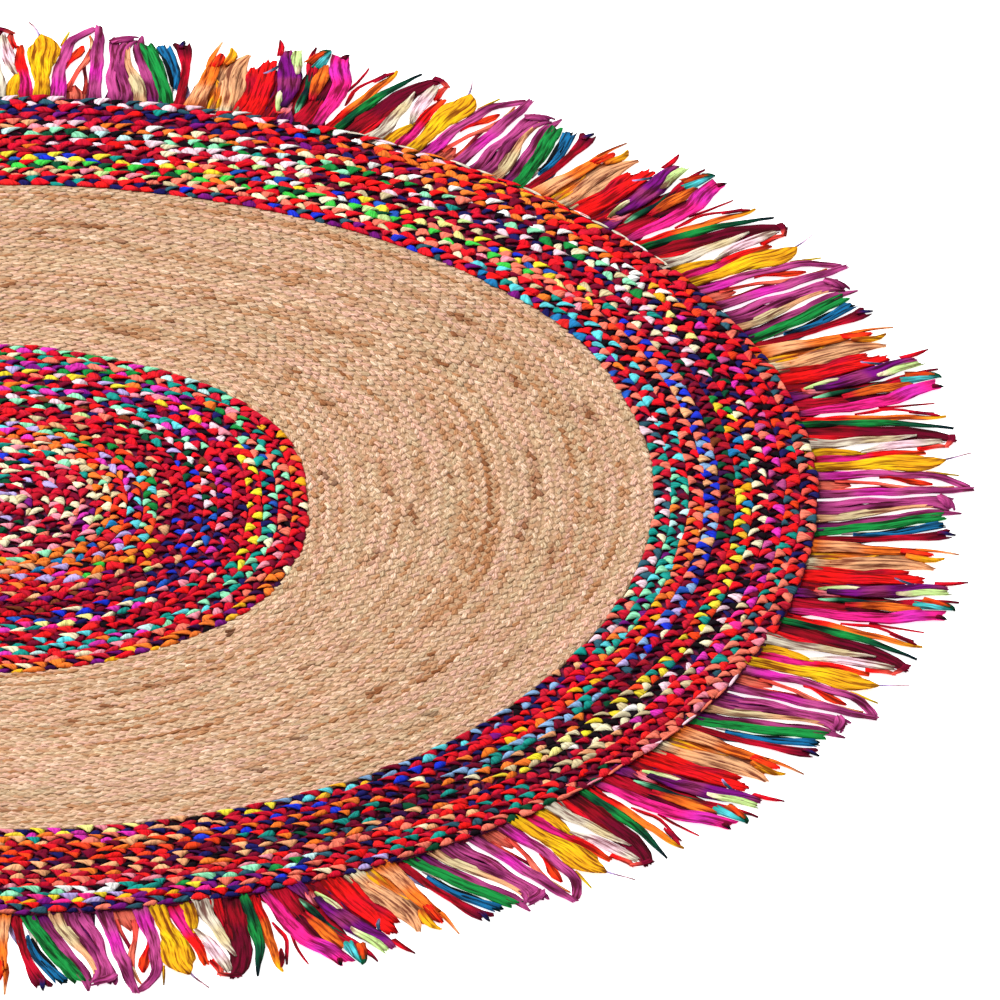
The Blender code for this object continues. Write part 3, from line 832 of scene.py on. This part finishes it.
# Angles are in degrees. Lengths are in mm, but the thickness and the lowest height are in metres.
fringe = {"start": -5.4, "repeats": 13, "edge": 767.5, "station": 9.5, "tuck": 8.0, "wider": 1.13,
          "rootWider": 0.4, "rootFade": 14.0, "wander": 0.12, "mostWander": 1.1, "foldHeight": 0.2,
          "mostFold": 2.6, "foldDrift": 0.35, "foldFade": 0.45, "foldFlat": 0.25, "sway": 0.5,
          "swayRate": 0.11, "crumple": 0.12, "leastHeight": 0.5, "droop": 0.35, "edgeNoise": 0.05,
          "tipTear": 0.35, "mostTear": 5.0, "tipSlant": 0.2, "blendFrom": 0.3, "blendOver": 0.4,
          "paintedUnderShade": 0.5, "fullLight": 2.2, "paintedRootShade": 0.62, "thick": 1.0 * mm, "lowest": 0.1 * mm}

# Height above the floor in mm and rags from the root to the tip, then the strip's line: angle in degrees from
# the start of the run, reach and width in mm.
strips = {
    "lilac_under": "0.6 slate lavender slate: -0.18 -4 3, -0.23 17 6, 0.05 33 3.9, 0.4 50 1.3",
    "dark_red": "1.6 crimson darkRed crimson maroon: 0.23 -4 8.1, 0.47 35 6.9, 0.76 72 6.4, 1.36 104 12.8, "
                "1.63 118 14.1",
    "dark_red_knot": "2.4 maroon navy black: 1.53 108 5, 1.56 119 4.3, 1.59 125 2.1",
    "cerulean": "0.8 cerulean: 0.87 30 1.7, 1.22 61 6, 1.85 87 9.6, 2.53 110 11.8",
    # green_shade is a dark strip laid in the shade between the cerulean and the green strips: painted shade.
    "green_shade": "1.0 black tealBlack: 1.08 34 1.7, 1.76 71 7.3, 2.53 97 9.4, 3.07 112 8.6",
    # grey_glint is a pale strip laid as a painted highlight beside the green.
    "grey_glint": "2.0 grey offWhite: 0.95 19 2.6, 1.21 29 5.1, 1.46 42 1.7",
    "green": "2.4 green green green: 0.82 -4 8.6, 1.49 23 10.3, 2.31 55 12.8, 3.14 86 14.1, 3.84 112 14.1",
    "mauve": "1.2 purple mauve orchid mauve orchid: 1.76 -4 12.8, 2.24 17 11.1, 2.87 44 10.3, 3.55 75 10.7, "
             "4.25 107 11.8, 4.21 129 1.7",
    "beige": "2.6 tan beige tan peach: 2.89 -4 12.4, 3.07 17 11.1, 3.62 38 12.4, 4.41 64 7.7, 4.91 91 5.6, "
             "4.95 114 5.1",
    "mauve_wide_a": "1.4 mauve orchid mauve orchid orchid: 3.85 -4 9.6, 4.01 19 9.6, 4.61 39 8.6, "
                    "5.12 66 10.7, 5.23 96 10.7, 4.95 117 11, 4.6 119 8",
    "mauve_wide_b": "2.6 mauve orchid orchid orchid mauve: 4.57 -4 9.6, 5.01 21 8.6, 5.52 39 9, 5.42 54 7.7, "
                    "5.53 80 7.7, 5.86 107 9, 5.65 119 9",
    "mauve_wide_end": "3.4 orchid mauve: 6.0 108 6, 5.6 116 12, 5.03 118 12, 4.5 117 7",
    "orchid_tall": "1.8 mauve orchid magenta orchid mauve orchid: 6.22 -4 10.7, 6.35 22 10.7, 6.49 54 11.1, "
                   "6.59 86 11.8, 6.81 113 9, 6.9 140 5.6",
    "coral_root": "1.4 coral salmon coral: 7.54 -5 23.6, 7.59 6 20.3, 7.8 15 10.7, 7.93 26 3.9",
    "coral_upper": "2.2 coral coral salmon coral: 8.09 12 4.3, 7.87 44 3, 7.49 60 5.4, 7.15 81 7.7, "
                   "6.97 99 3.4",
    "coral_lower": "1.6 coral maroon: 6.93 8 3.6, 6.98 32 3, 7.22 49 3, 7.39 65 3.4",
    "coral_end": "2.0 beige tan orange: 7.08 95 2.6, 7.13 107 4.7, 7.34 123 1.7",
    "orchid": "2.6 orchid magenta orchid orchid mauve orchid: 8.93 -4 13.3, 8.94 23 11.8, 8.95 55 9.8, "
              "8.76 76 9.4, 8.63 98 9, 8.35 118 8.1, 7.63 129 10.3, 7.12 137 5.6",
    "red_bud": "1.8 crimson scarlet orangeRed scarlet: 8.55 54 1.7, 8.22 73 4.7, 7.86 85 13.3, 7.77 96 12, "
               "7.7 103 2",
    "yellow_thin": "1.2 gold yellow: 8.99 98 3, 8.85 114 2.6, 8.66 129 1.3",
    "yellow": "3.0 amber gold amber gold gold: 9.94 -4 9.6, 9.95 24 12.4, 10.01 45 14.1, 10.21 62 23, "
              "10.14 83 29, 9.99 101 25, 10.23 110 15, 10.37 118 2.6",
    "lilac_thread": "2.2 lavender palePink: 10.38 112 1.3, 10.64 130 1.1, 11.16 144 0.9",
    "scarlet": "2.0 crimson hotPink scarlet orangeRed: 11.04 -4 12.8, 11.15 25 10.7, 11.4 47 9.8, "
               "11.58 74 8.6, 11.62 100 5.1",
    "gold_short": "2.4 amber gold amber: 12.1 -4 10.7, 12.04 16 10.7, 11.83 32 9.6, 11.73 46 1.7",
    "off_white_a": "3.4 offWhite offWhite beige offWhite: 13.17 -4 13.3, 12.95 28 11.6, 13.17 61 9.8, "
                   "13.47 83 6.9, 13.57 97 2.1",
    "off_white_b": "3.0 offWhite palePink offWhite: 11.83 41 2.1, 12.26 59 8.1, 12.51 81 12, 12.72 103 13.3, "
                   "12.74 119 5.1",
    "scarlet_tip": "1.6 scarlet coral: 11.98 95 4.3, 12.35 108 9, 12.13 123 3.4",
    "crimson_short": "3.0 scarlet red crimson: 14.08 -3 7.3, 13.9 19 7.7, 13.71 42 2.1",
    "maroon": "1.2 maroon darkRed maroon maroon maroon: 15.25 -4 17.1, 14.69 32 19.3, 14.3 74 18, "
              "13.76 106 18, 13.3 125 13, 12.85 132 6.4",
    "maroon_turn": "2.4 maroon maroon coral: 13.3 129 7, 12.75 131 7.3, 12.2 121 4.7",
    "dark_green": "3.2 green darkGreen green darkGreen tealBlack: 16.18 -4 5.4, 15.89 24 9.6, 15.58 54 12, "
                  "15.34 82 9.8, 14.73 108 5.6, 14.24 134 2.1",
    "orange": "2.2 red scarlet orange orange gold: 16.98 -4 8.6, 16.56 18 5.6, 16.49 45 7.7, 16.14 72 8.6, "
              "16.02 93 6.9, 15.73 114 6.4, 15.75 131 1.3",
    "fork_a": "1.6 crimson red crimson maroon: 16.91 47 1.7, 17.04 63 5.1, 17.24 80 3.4, 16.95 90 2.6, "
              "16.47 105 4.3, 16.3 121 1.3",
    "fork_tip": "2.4 crimson maroon crimson: 16.37 97 2.6, 16.19 108 7.3, 15.81 125 1.3",
    "fork_b": "2.0 crimson darkRed crimson: 17.64 72 2.6, 17.34 97 2.6, 17.36 111 2.6, 17.49 125 1.1",
    "hot_pink": "3.0 mauve hotPink hotPink hotPink magenta hotPink: 17.59 -4 3.9, 17.64 16 9.8, "
                "17.76 38 13.3, 17.94 66 15.4, 18.06 83 16, 18.86 102 18, 19.36 121 16, 19.55 135 15",
    "hot_pink_knot": "3.2 maroon black: 19.33 130 5.1, 19.21 136 4.7, 19.14 140 2.1",
    "rust_root": "1.8 crimson crimson darkRed maroon: 18.77 -4 19.7, 18.71 19 17.1, 18.73 41 10.7, "
                 "18.88 60 6.4",
    # rust_shade is a dark strip laid in the shade between the hot pink and the rust: painted shade.
    "rust_shade": "1.0 black maroon black: 18.65 37 5.1, 18.81 59 9.4, 19.06 81 8.6, 19.1 101 3",
    "rust": "2.4 crimson rust orange rust: 19.17 43 4.3, 19.39 66 10.7, 19.66 83 13.3, 19.84 100 12.8, "
            "20.02 112 4.3",
    "teal_tip": "2.8 teal cyan teal: 20.46 104 10, 20.35 122 9.4, 20.27 141 3",
    "orange_red_tip": "2.0 rust orangeRed rust: 21.13 111 7.7, 20.93 127 7.3, 20.68 138 4.7",
    "green_tip": "2.6 darkGreen darkGreen: 20.75 133 5.6, 20.59 140 7, 20.42 144 1.7",
    "mint_shade": "2.8 mint darkGreen tealBlack darkGreen tealBlack: 19.58 16 1.7, 19.75 29 7.7, "
                  "19.9 45 6.9, 20.05 63 6.9, 20.34 80 8.1, 20.61 98 5.1",
    "crimson_mid": "1.4 maroon crimson crimson maroon: 20.23 78 4.3, 20.42 96 11.1, 20.7 109 12, "
                   "21.29 124 5.6, 21.36 144 1.7",
    "crimson_under": "0.6 maroon darkRed maroon: 19.4 -4 12, 19.7 40 12, 20.3 90 9, 20.9 115 4",
    "root_fill_a": "0.8 maroon crimson maroon: 18.2 -4 24, 18.4 24 18, 18.5 48 6",
    "root_fill_b": "0.8 crimson darkRed maroon: 21.5 -4 24, 21.6 18 18, 21.7 34 6",
    "root_fill_c": "0.7 maroon black maroon: 16.0 -4 22, 16.1 8 16, 16.2 20 6",
    "purple_root": "3.0 purple mauve: 19.85 -4 13.3, 20.01 7 10.3, 20.13 18 3",
    "purple": "3.2 darkPurple purple mauve purple purple mauve: 20.72 21 7.7, 20.78 32 12, 21.06 50 16.3, "
              "21.62 80 22, 22.1 99 20, 22.7 118 14, 22.8 129 4.7",
    "purple_tip": "2.8 crimson red maroon: 23.1 116 4.7, 23.27 131 7.3, 23.67 146 1.7",
    "purple_red": "3.4 coral pink crimson: 20.55 9 7.7, 20.37 21 8.6, 20.52 35 1.7",
    "pale_mint_a": "3.6 paleLime cream: 20.82 12 1.7, 21.26 28 6.4, 21.53 41 5.6, 21.72 57 1.3",
    "pale_mint_b": "2.4 cream paleLime paleLime: 21.24 85 1.3, 21.68 104 8.6, 22.06 120 11, 22.18 132 6",
    "red_root": "1.8 scarlet red crimson: 21.02 -4 7.3, 20.95 10 6.9, 21.35 30 1.7",
    "red_a": "2.2 scarlet scarlet red scarlet scarlet: 22.49 -5 15, 22.59 23 15.8, 22.92 58 15.8, "
             "23.11 81 12.8, 23.42 103 12",
    "red_b": "1.4 crimson scarlet crimson scarlet: 23.4 -4 9, 23.46 38 11.6, 23.84 62 12, 24.18 77 10.7, "
             "24.3 88 6.4",
    # red_shade is a dark strip laid in the shade beside the reds: painted shade.
    "red_shade": "2.8 black navy maroon: 21.85 -3 4.7, 21.92 20 3.9, 21.89 40 3, 22.13 60 1.7",
    "red_under": "0.6 maroon crimson maroon: 22.0 -4 12, 22.3 50 12, 22.6 90 6",
    "slate_tip": "3.0 lavender slate navy: 23.36 78 3.4, 22.9 86 3.9, 22.76 98 2.1",
    "tan_a": "2.0 beige tan tan peach: 23.9 -4 11.1, 24.21 30 11.1, 24.61 66 9.8, 24.9 96 6.9, 24.93 110 2.6",
    "tan_b": "3.0 cream peach tan tan peach: 24.4 -3 9.5, 24.9 33 12, 25.45 65 13.7, 25.46 82 11.6, "
             "25.26 98 9.4, 25.04 112 4.3",
    "gold": "2.0 gold gold orange gold: 25.16 -4 13.3, 25.36 24 11.6, 25.83 44 7.7, 26.03 58 1.7",
    "gold_tip": "2.4 orange gold gold: 26.03 83 3.9, 25.87 101 11.6, 25.88 109 6.9, 26.1 119 1.3",
    "light_orange": "2.6 orange peach orange orange: 26.65 -4 15.8, 26.67 43 13.3, 26.83 78 12, 26.85 90 9",
    "light_orange_tip": "1.8 orange orange peach: 27.0 79 6.4, 27.15 98 5.1, 27.08 112 3, 26.97 131 1.1",
    "scarlet_patch": "3.0 scarlet orangeRed scarlet: 26.64 77 7.7, 26.65 91 12, 26.68 101 11, 26.74 107 4.3",
    "maroon_under": "0.5 maroon darkRed maroon: 13.9 -4 20, 13.9 40 17, 13.6 78 12, 13.4 100 4",
    "purple_under": "0.5 maroon crimson maroon black: 20.9 -4 18, 21.2 40 17, 21.6 78 14, 21.9 104 7",
    "rust_under": "0.4 maroon crimson black: 19.6 -4 18, 19.9 50 20, 20.3 92 16, 20.6 116 7",
    "tan_under": "0.5 tan orange tan orange: 25.3 -4 26, 25.7 44 24, 25.8 78 20, 25.9 100 9",
    "red_under_b": "0.5 crimson red crimson: 23.0 -4 22, 23.4 50 20, 23.6 88 12, 23.7 104 5",
    "mauve_under": "0.4 mauve purple mauve: 4.4 -4 22, 4.8 30 14, 4.9 52 5",
}


def smooth(values, times=1):
    for _ in range(times):
        values[1:-1] = (values[:-2] + 2 * values[1:-1] + values[2:]) / 4
    return values


def makeStrip(bm, layers, name, turn, draws):
    # One torn strip: a grid drawn out along its line, folded lengthwise, and given its thickness later on
    head, line = strips[name].split(": ")
    lift, *rags = head.split()
    lift = float(lift)
    knots = readChart(line)
    if knots[0, 1] < 0:
        knots[0, 1] -= fringe["tuck"]
    flatLine = np.stack([np.radians(knots[:, 0]) * (fringe["edge"] + knots[:, 1]), knots[:, 1]], -1)
    run = np.concatenate([[0], np.cumsum(np.hypot(*np.diff(flatLine, axis=0).T))])
    rows = max(4, int(run[-1] / fringe["station"]))
    widest = knots[:, 2].max()
    columns = 2 if widest < 3.5 else 4 if widest < 9 else 6
    spot = np.linspace(0, run[-1], rows + 1)
    angle, reach, width = (smooth(np.interp(spot, run, knots[:, k]), 2) for k in range(3))
    width = width * (fringe["wider"] + fringe["rootWider"] * np.exp(-reach.clip(0) / fringe["rootFade"]))
    wander = smooth(draws.normal(0, 1, rows + 1), 2) * min(fringe["mostWander"], fringe["wander"] * widest)
    wander[0] = 0
    # Up to three folds run along the strip and drift across it.
    folds = 1 + (widest > 7) + (widest > 15)
    start = draws.uniform(0, 1)
    drift = draws.normal(0, fringe["foldDrift"])
    foldHeight = min(fringe["mostFold"], fringe["foldHeight"] * widest + 0.3)
    edgeNoise = draws.normal(0, fringe["edgeNoise"], (2, rows + 1))
    tear = draws.uniform(-1, 1, columns + 1) * min(fringe["mostTear"], fringe["tipTear"] * width[-1])
    tipSlant = draws.normal(0, fringe["tipSlant"]) * width[-1]
    colours = [linear(dyes[rag]) for rag in rags]
    for vert in bmesh.ops.create_grid(bm, x_segments=columns, y_segments=rows, size=1)["verts"]:
        across = (vert.co.x + 1) / 2
        station = int(round((vert.co.y + 1) / 2 * rows))
        share = station / rows
        uneven = 1 + edgeNoise[int(across > 0.5)][station]
        offset = (across - 0.5) * width[station] * uneven + wander[station]
        ragged = (tear[int(round(across * columns))] + tipSlant * (across - 0.5)) if station == rows else 0
        wave = abs(math.sin(math.pi * (folds * across + start + drift * share)))
        flatter = 1 - fringe["foldFlat"] * (2 * across - 1) ** 2
        height = lift + foldHeight * (1 - fringe["foldFade"] * share) * wave * flatter
        sway = fringe["sway"] * math.sin(spot[station] * fringe["swayRate"] + start * 6)
        height += sway + draws.normal(0, fringe["crumple"])
        height = max(fringe["leastHeight"], height * (1 - fringe["droop"] * share ** 3))
        # Forward along the strip's own line, and offset square to it
        before, after = max(station - 1, 0), min(station + 1, rows)
        ahead = reach[after] - reach[before]
        aside = math.radians(angle[after] - angle[before]) * (fringe["edge"] + reach[station])
        step = max(1e-6, math.hypot(ahead, aside))
        out = reach[station] + (-aside * offset + ahead * ragged) / step
        radius = (fringe["edge"] + out) * mm
        bearing = math.radians(fringe["start"] + turn + angle[station])
        bearing += ((ahead * offset + aside * ragged) / step) / (fringe["edge"] + out)
        vert.co = Vector((radius * math.cos(bearing), radius * math.sin(bearing), height * mm))
        spotInRags = share * (len(colours) - 1)
        low = min(int(spotInRags), len(colours) - 2) if len(colours) > 1 else 0
        blended = min(1, max(0, (spotInRags - low - fringe["blendFrom"]) / fringe["blendOver"]))
        second = colours[min(low + 1, len(colours) - 1)]
        # Painted shade: strips that lie lower are darker, and so is every strip near its root.
        shade = min(1, fringe["paintedUnderShade"] + (1 - fringe["paintedUnderShade"]) * lift / fringe["fullLight"])
        shade *= 1 - (1 - fringe["paintedRootShade"]) * math.exp(-max(0, reach[station]) / fringe["rootFade"])
        vert[layers[0]] = [shade * (a + blended * (b - a)) for a, b in zip(colours[low], second)] + [1]
        vert[layers[1]] = (spot[station] * mm + turn, offset * mm * 1.4 + 0.07 * (len(name) + start), start)
    return width.mean() * run[-1] * mm * mm


def makeFringe(name, stripNames, seed):
    bm = bmesh.new()
    layers = strandLayers(bm)
    cutArea = 0
    for repeat in range(fringe["repeats"]):
        for place, stripName in enumerate(stripNames):
            draws = np.random.default_rng(seed + place)      # the same folds in each repeat
            cutArea += makeStrip(bm, layers, stripName, 360 / fringe["repeats"] * repeat, draws)
    bmesh.ops.recalc_face_normals(bm, faces=bm.faces)
    if sum(face.normal.z for face in bm.faces) < 0:
        bmesh.ops.reverse_faces(bm, faces=bm.faces)
    bmesh.ops.solidify(bm, geom=bm.faces[:], thickness=fringe["thick"])
    for vert in bm.verts:
        vert.co.z = max(vert.co.z, fringe["lowest"])
    bmesh.ops.recalc_face_normals(bm, faces=bm.faces)
    print(name, "strips:", len(stripNames) * fringe["repeats"], "cut area", round(cutArea, 3))
    return pieceFrom(bm, name, fringeMaterial), cutArea


stripNames = list(strips)
fringeLower, lowerArea = makeFringe("fringe_strips_a", stripNames[0::2], 101)
fringeUpper, upperArea = makeFringe("fringe_strips_b", stripNames[1::2], 301)


# Pale stitches that show along the outermost row: where a run starts in degrees, and its threads' colours
stitches = {"radius": 0.7618, "long": 25 * mm, "wide": 3.4 * mm, "lift": 6.9 * mm, "crown": 1.0 * mm,
            "thick": 0.8 * mm, "step": 2.15, "stepWander": 0.15, "slant": 0.8, "sizes": (0.8, 1.1),
            "runs": "-45.5 salmon pink salmon salmon, -37 palePink salmon palePink salmon salmon palePink, "
                    "36 offWhite white offWhite offWhite white, "
                    "47.2 orangeRed offWhite red offWhite offWhite orange offWhite palePink offWhite"}


def makeStitches(name, seed):
    draws = np.random.default_rng(seed)
    bm = bmesh.new()
    layers = strandLayers(bm)
    count = 0
    for run in stitches["runs"].split(", "):
        start, *rags = run.split()
        for place, rag in enumerate(rags):
            middle = float(start) + stitches["step"] * place + draws.normal(0, stitches["stepWander"])
            slant, size = draws.normal(0, stitches["slant"]) * mm, draws.uniform(*stitches["sizes"])
            for vert in bmesh.ops.create_grid(bm, x_segments=7, y_segments=3, size=1)["verts"]:
                ahead, across = vert.co.x, vert.co.y
                radius = stitches["radius"] + slant * ahead
                radius += across * stitches["wide"] / 2 * size * (1 - 0.7 * ahead ** 4)
                bearing = math.radians(middle) + ahead * size * stitches["long"] / 2 / radius
                height = stitches["lift"] + stitches["crown"] * (1 - ahead ** 2) * (1 - 0.5 * across ** 2)
                vert.co = Vector((radius * math.cos(bearing), radius * math.sin(bearing), height))
                vert[layers[0]] = linear(dyes[rag]) + [1]
                vert[layers[1]] = (ahead * 12 * mm + count, across * 2 * mm + 0.3 * count, count)
            count += 1
    bmesh.ops.recalc_face_normals(bm, faces=bm.faces)
    bmesh.ops.solidify(bm, geom=bm.faces[:], thickness=stitches["thick"])
    bmesh.ops.recalc_face_normals(bm, faces=bm.faces)
    print("stitches:", count)
    return pieceFrom(bm, name, ragMaterial)


borderPieces.append(makeStitches("edge_stitches", 71))

# The parts that the pieces replace: each piece rides on the root, and the part is hidden
cadNodes = {"medallion": medallionPieces + [medallionGround], "jute_field": jutePieces + [fieldGround],
            "border": borderPieces + [borderGround], "fringe": [fringeLower, fringeUpper]}
for node, made in cadNodes.items():
    for piece in made:
        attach(piece, "root")
        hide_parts(node)


def ringCut(coil):
    return coil["outer"] - coil["inner"], math.pi * (coil["outer"] + coil["inner"])


ringCut(coils["field"])
ringCut(coils["border"])
lowerArea / 0.12
upperArea / 0.12
print("pieces joined to the frame")


studio = {"floor": 8.0, "floorDrop": 0.3 * mm, "floorWhite": 0.93, "floorGlow": 0.8, "keySize": 7.0,
          "keyPower": 2350, "keyFrom": (-7.0, 3.6, 10.0), "sky": 0.66}
shot = {"lens": 1600, "sensor": 36, "wide": 0.9326, "tilt": 30, "aim": (0.4663, 0.0073, 0)}


def makeFloor():
    bm = bmesh.new()
    bmesh.ops.create_circle(bm, cap_ends=True, segments=96, radius=studio["floor"])
    bmesh.ops.translate(bm, verts=bm.verts, vec=(0, 0, -studio["floorDrop"]))
    finish = Finish("studio_floor")
    surface = finish.add("BsdfPrincipled", {}, {"Base Color": white(studio["floorWhite"]), "Roughness": 0.9,
                                                "Specular IOR Level": 0.1, "Emission Color": white(1.0),
                                                "Emission Strength": studio["floorGlow"]})
    finish.add("OutputMaterial", {}, {"Surface": surface})
    floor = pieceFrom(bm, "studio_floor", finish.material)
    floor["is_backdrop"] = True


def aimed(name, data, place, back):
    # Looks from its place against the direction of back
    thing = bpy.data.objects.new(name, data)
    thing.location = place
    thing.rotation_mode = "QUATERNION"
    thing.rotation_quaternion = back.to_track_quat("Z", "Y")
    bpy.context.scene.collection.objects.link(thing)
    return thing


def makeLights():
    lamp = bpy.data.lights.new("key", "AREA")
    lamp.shape = "DISK"
    lamp.size = studio["keySize"]
    lamp.energy = studio["keyPower"]
    aimed("key", lamp, studio["keyFrom"], Vector(studio["keyFrom"]))
    world = bpy.data.worlds.new("studio")
    world.use_nodes = True
    world.node_tree.nodes["Background"].inputs[0].default_value = white(1.0)
    world.node_tree.nodes["Background"].inputs[1].default_value = studio["sky"]
    bpy.context.scene.world = world


def makeCamera():
    lens = bpy.data.cameras.new("shot")
    lens.lens = shot["lens"]
    lens.sensor_width = shot["sensor"]
    lens.clip_start = 1
    lens.clip_end = 200
    tilt = math.radians(shot["tilt"])
    back = Vector((0, -math.cos(tilt), math.sin(tilt)))
    distance = shot["wide"] * shot["lens"] / shot["sensor"]
    bpy.context.scene.camera = aimed("shot", lens, Vector(shot["aim"]) + back * distance, back)


makeFloor()
makeLights()
makeCamera()
bpy.context.scene.view_settings.view_transform = "Standard"
print("studio ready")

bpy.context.view_layer.update()
triangles = {piece.name: sum(len(p.vertices) - 2 for p in piece.data.polygons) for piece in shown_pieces()}
print("triangles:", triangles, "in all", sum(triangles.values()))
